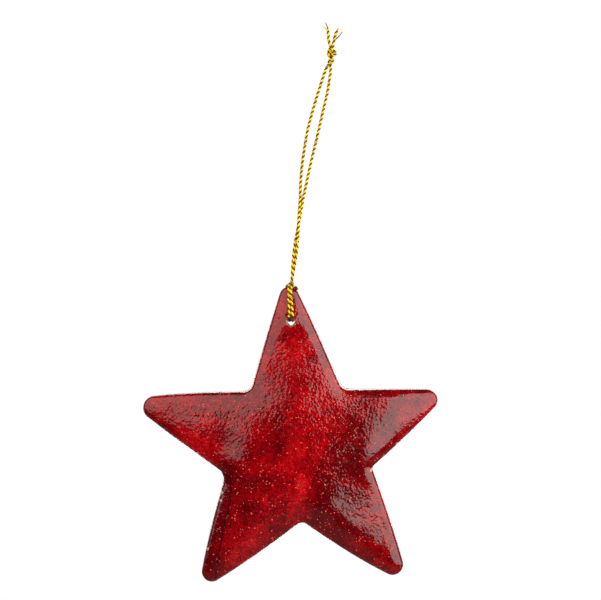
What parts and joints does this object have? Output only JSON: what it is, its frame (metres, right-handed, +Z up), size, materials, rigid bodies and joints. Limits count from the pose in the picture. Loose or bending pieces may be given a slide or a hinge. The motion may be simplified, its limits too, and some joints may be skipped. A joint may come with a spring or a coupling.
{
  "type": "star ornament",
  "caption": "Hollow puffy star of red lacquered capiz leaves on moulded half shells, hung by a girth-hitched twisted gold cord loop.",
  "frame": {"origin": "the hang point: inside the top of the cord loop, just under the knot, where a twig or hook carries it", "axes": "+Z up as it hangs, front of the star towards -Y, +X to the right seen from the front"},
  "size_m": [0.1014, 0.024, 0.1903],
  "materials": {
    "red_capiz": "clear gloss lacquer over dyed capiz",
    "red_shell": "matt dyed moulding",
    "seam_filler": "lacquered filler",
    "gold_cord": "twisted metallic yarn"
  },
  "bodies": {
    "hanger": {"loop_strand_left": "gold_cord", "loop_strand_right": "gold_cord", "knot": "gold_cord", "tail_left": "gold_cord", "tail_right": "gold_cord"},
    "neck": {"neck_strand_left": "gold_cord", "neck_strand_right": "gold_cord"},
    "hitch": {"hitch": "gold_cord"},
    "star": {"front_shell": "red_shell", "back_shell": "red_shell", "edge_seam": "seam_filler", "front_leaf_top": "red_capiz", "front_leaf_right": "red_capiz", "front_leaf_lower_right": "red_capiz", "front_leaf_lower_left": "red_capiz", "front_strip_lower_left": "red_capiz", "front_leaf_left_upper": "red_capiz", "front_leaf_left_lower": "red_capiz", "front_leaf_center": "red_capiz", "back_leaf_top": "red_capiz", "back_leaf_right": "red_capiz", "back_leaf_lower_right": "red_capiz", "back_leaf_lower_left": "red_capiz", "back_leaf_left": "red_capiz", "back_leaf_center": "red_capiz"}
  },
  "joints": [
    {"name": "cord_twist", "type": "hinge", "parent": "hanger", "child": "neck", "pos_m": [-0.0099, 0, -0.0473], "axis": [0.1186, 0, 0.9929], "range_deg": [-180, 180]},
    {"name": "star_nod", "type": "hinge", "parent": "neck", "child": "hitch", "pos_m": [-0.01317, 0, -0.07475], "axis": [1, 0, 0], "range_deg": [-40, 40]},
    {"name": "star_rock", "type": "hinge", "parent": "hitch", "child": "star", "pos_m": [-0.0133, 0, -0.0885], "axis": [0, 1, 0], "range_deg": [-10, 10]}
  ]
}
